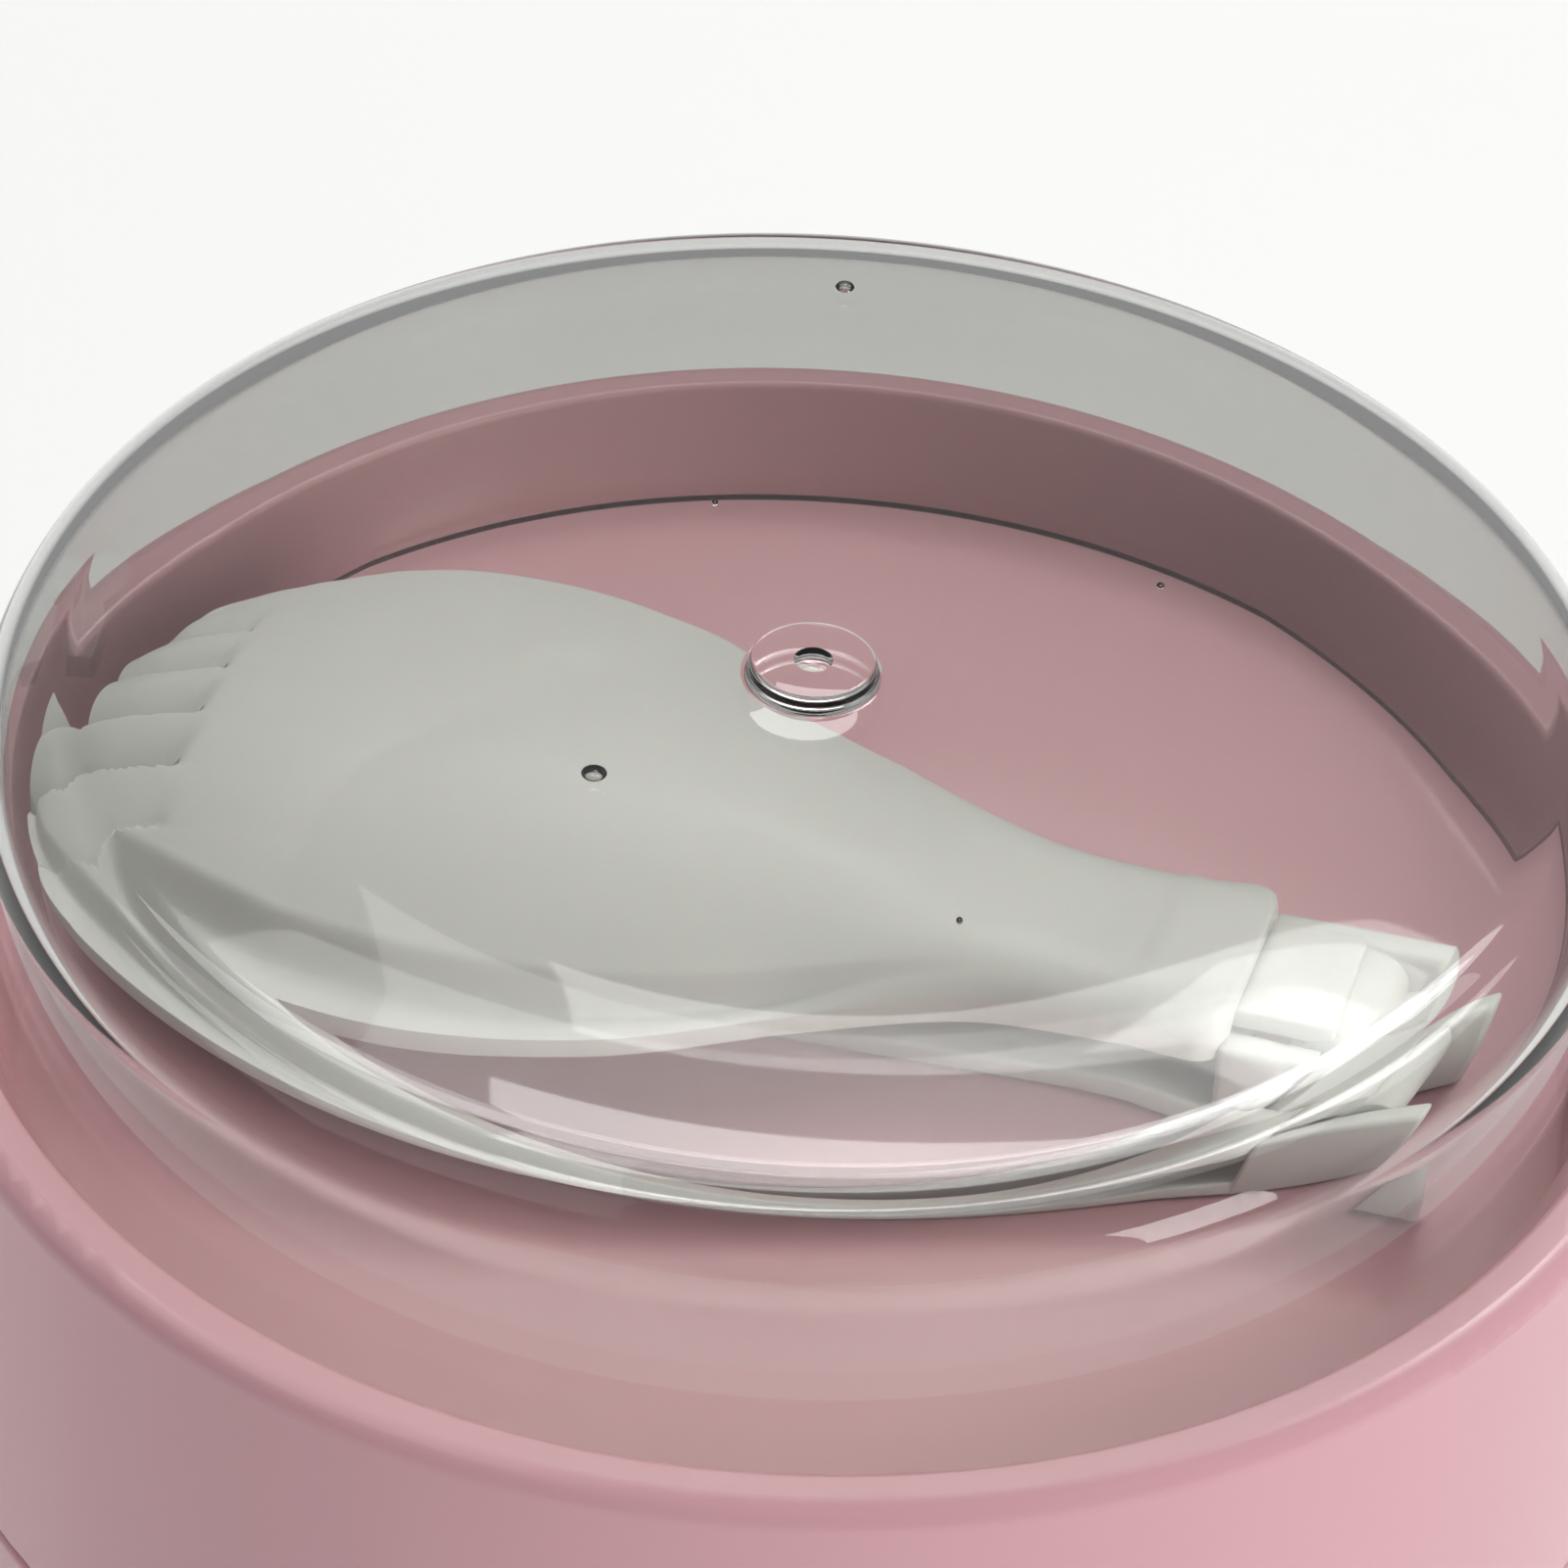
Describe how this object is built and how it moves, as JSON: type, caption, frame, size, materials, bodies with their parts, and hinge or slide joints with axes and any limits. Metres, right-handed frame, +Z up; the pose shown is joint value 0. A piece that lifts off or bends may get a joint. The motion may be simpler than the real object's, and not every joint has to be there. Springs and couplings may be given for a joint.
{
  "type": "ice cream maker",
  "caption": "Cylindrical cup-shaped ice cream maker: insulated cup, freezer bowl, motor lid with stirring paddle, and a clear domed cap over a folding spork.",
  "frame": {"origin": "centre of the resting face, on the cup's axis", "axes": "+Z up along the cup's axis; the front with the button faces -Y; +X to the right"},
  "size_m": [0.107, 0.107, 0.1668],
  "materials": {
    "pink_plastic": "satin moulded",
    "clear_plastic": "clear moulded plastic",
    "spork_plastic": "satin off-white",
    "white_plastic": "fine texture",
    "button_plastic": "satin",
    "light_ring": "translucent",
    "paddle_plastic": "satin",
    "gear_plastic": "moulded acetal",
    "brass": "machined",
    "steel": "machined",
    "bowl_metal": "satin anodised",
    "copper_winding": "enamelled wire",
    "magnet": "sintered",
    "cell_sleeve": "shrink sleeve",
    "board_green": "solder mask",
    "switch_black": "moulded",
    "foam": "closed-cell foam",
    "gel": "frozen gel",
    "soft_rubber": "silicone"
  },
  "bodies": {
    "cup": {"outer_shell": "pink_plastic", "inner_liner": "white_plastic", "insulation_sleeve": "foam", "base_cover": "white_plastic", "base_screws": "steel", "foot_ring": "soft_rubber"},
    "freezer_bowl": {"bowl_inner": "bowl_metal", "bowl_jacket": "white_plastic", "coolant_gel": "gel", "filler_plug": "soft_rubber"},
    "lid_unit": {"collar_housing": "pink_plastic", "bottom_cover": "white_plastic", "lid_seal": "soft_rubber", "cover_screws": "steel", "gear_plate": "white_plastic", "plate_screws": "steel", "motor_can": "steel", "motor_magnets": "magnet", "motor_end_cap": "white_plastic", "battery_cell": "cell_sleeve", "battery_cradle": "white_plastic", "circuit_board": "board_green", "tact_switch": "switch_black", "charge_board": "board_green", "usb_socket": "steel", "indicator_ring": "light_ring", "idler_pin": "steel", "output_bush": "brass", "shaft_seal": "soft_rubber"},
    "button": {"start_button": "button_plastic"},
    "paddle": {"output_shaft": "steel", "output_gear": "gear_plastic", "paddle_frame": "paddle_plastic", "scraper_blades": "soft_rubber"},
    "idler": {"idler_gear": "gear_plastic"},
    "motor_rotor": {"rotor_core": "copper_winding", "motor_shaft": "steel", "motor_pinion": "brass"},
    "cap": {"clear_cap": "clear_plastic"},
    "spork_lower": {"spork_handle": "spork_plastic", "spork_pin": "spork_plastic"},
    "spork_upper": {"spork_bowl": "spork_plastic"}
  },
  "joints": [
    {"name": "lid_lift", "type": "slide", "parent": "cup", "child": "lid_unit", "axis": [0, 0, 1], "range_m": [0, 0.26]},
    {"name": "bowl_lift", "type": "slide", "parent": "cup", "child": "freezer_bowl", "axis": [0, 0, 1], "range_m": [0, 0.12]},
    {"name": "cap_lift", "type": "slide", "parent": "lid_unit", "child": "cap", "axis": [0, 0, 1], "range_m": [0, 0.28]},
    {"name": "spork_lift", "type": "slide", "parent": "lid_unit", "child": "spork_lower", "axis": [0, 0, 1], "range_m": [0, 0.04]},
    {"name": "spork_unfold", "type": "hinge", "parent": "spork_lower", "child": "spork_upper", "pos_m": [0.03295, -0.00971, 0.1474], "axis": [0.2419, 0.9703, 0], "range_deg": [0, 180]},
    {"name": "paddle_spin", "type": "hinge", "parent": "lid_unit", "child": "paddle", "pos_m": [0, 0, 0.1], "axis": [0, 0, 1], "continuous": true},
    {"name": "idler_spin", "type": "hinge", "parent": "lid_unit", "child": "idler", "pos_m": [0, -0.0216, 0.1], "axis": [0, 0, 1], "continuous": true},
    {"name": "motor_spin", "type": "hinge", "parent": "lid_unit", "child": "motor_rotor", "pos_m": [-0.01893, -0.01119, 0.1], "axis": [0, 0, 1], "continuous": true},
    {"name": "button_press", "type": "slide", "parent": "lid_unit", "child": "button", "axis": [0, 1, 0], "range_m": [0, 0.001], "stiffness_N_per_m": 600}
  ],
  "couplings": [
    {"joint": "bowl_lift", "follows": "lid_lift", "ratio": 0.45},
    {"joint": "spork_lift", "follows": "cap_lift", "ratio": 0.14},
    {"joint": "spork_unfold", "follows": "cap_lift", "rad_per_m": 11.2},
    {"joint": "idler_spin", "follows": "paddle_spin", "ratio": -5},
    {"joint": "motor_spin", "follows": "paddle_spin", "ratio": 25}
  ]
}
